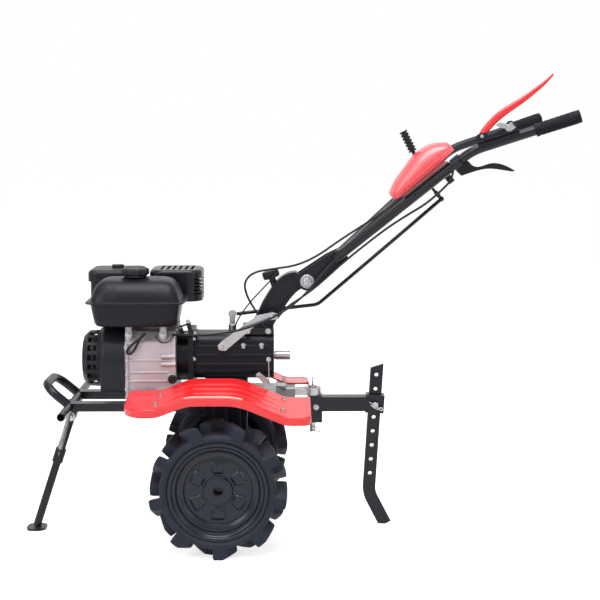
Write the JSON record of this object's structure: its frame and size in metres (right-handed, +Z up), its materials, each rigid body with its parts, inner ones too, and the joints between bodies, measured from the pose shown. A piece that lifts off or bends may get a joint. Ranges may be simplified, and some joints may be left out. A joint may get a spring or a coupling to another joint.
{
  "type": "walk-behind hand tractor",
  "caption": "Two-wheel walk-behind hand tractor: open petrol engine over a gear case, lugged tyres, red fenders, tall handlebar, rear drag bar and folding front stand.",
  "frame": {"origin": "on the ground, under the middle of the whole machine's box", "axes": "+X forward, away from the driver; +Y to the driver's left; +Z up"},
  "size_m": [1.4728, 0.565, 1.2498],
  "materials": {
    "tyre_rubber": "matt black rubber, slightly bluish",
    "wheel_paint": "satin blue-black paint on pressed steel",
    "bright_steel": "bright zinc-plated or bare steel",
    "gear_casting": "gloss black paint on cast alloy",
    "engine_casting": "bare die-cast alloy, fine grain",
    "shroud_black": "satin black shroud",
    "tank_black": "satin black paint",
    "cap_black": "moulded black plastic",
    "black_paint": "gloss black paint on steel",
    "red_paint": "gloss red paint on steel sheet",
    "red_plastic": "gloss red moulded plastic",
    "cable_sheath": "black cable sheath",
    "grip_rubber": "matt black knurled rubber"
  },
  "bodies": {
    "chassis": {"gear_leg": "gear_casting", "gear_case": "gear_casting", "pto_shaft": "bright_steel", "shift_arm": "bright_steel", "crankcase": "engine_casting", "cylinder": "engine_casting", "fan_cover": "shroud_black", "recoil_starter": "shroud_black", "fuel_tank": "tank_black", "fuel_cap": "cap_black", "air_cleaner": "shroud_black", "muffler": "black_paint", "rail_left": "black_paint", "rail_right": "black_paint", "bearer_plate": "black_paint", "cross_tube": "black_paint", "front_loop": "black_paint", "stand_bracket": "black_paint", "fender_left": "red_paint", "fender_right": "red_paint", "fender_stays": "black_paint", "drawbar": "bright_steel", "column": "black_paint", "clamp_knob": "cap_black", "column_brace": "bright_steel"},
    "wheels": {"axle": "bright_steel", "tyre_left": "tyre_rubber", "tyre_right": "tyre_rubber", "wheel_left": "wheel_paint", "wheel_right": "wheel_paint"},
    "stand": {"stand": "black_paint", "stand_spring": "bright_steel"},
    "hitch": {"hitch_box": "black_paint", "hitch_pin": "bright_steel", "drag_bar": "black_paint", "drag_pin": "bright_steel"},
    "handlebar": {"tilt_bracket": "black_paint", "handle_tube_left": "black_paint", "handle_tube_right": "black_paint", "console_plate": "black_paint", "console": "red_plastic", "gear_lever": "cap_black", "shift_rod": "black_paint", "clutch_bracket": "black_paint", "clutch_lever": "red_paint", "reverse_lever": "black_paint", "clutch_cable": "cable_sheath", "throttle_cable": "cable_sheath", "reverse_cable": "cable_sheath", "grip_left": "grip_rubber", "grip_right": "grip_rubber"}
  },
  "joints": [
    {"name": "axle_turn", "type": "hinge", "parent": "chassis", "child": "wheels", "pos_m": [0.18543, 0, 0.18], "axis": [0, 1, 0], "continuous": true},
    {"name": "stand_fold", "type": "hinge", "parent": "chassis", "child": "stand", "pos_m": [0.60443, 0, 0.324], "axis": [0, 1, 0], "range_deg": [0, 105], "deforming": ["stand_spring"]},
    {"name": "hitch_swing", "type": "hinge", "parent": "chassis", "child": "hitch", "pos_m": [-0.06457, 0, 0.381], "axis": [0, 0, 1], "range_deg": [-12, 12]},
    {"name": "handle_tilt", "type": "hinge", "parent": "chassis", "child": "handlebar", "pos_m": [-0.04857, 0, 0.7], "axis": [0, 1, 0], "range_deg": [-10, 15], "deforming": ["shift_rod", "clutch_cable", "throttle_cable", "reverse_cable"]}
  ]
}
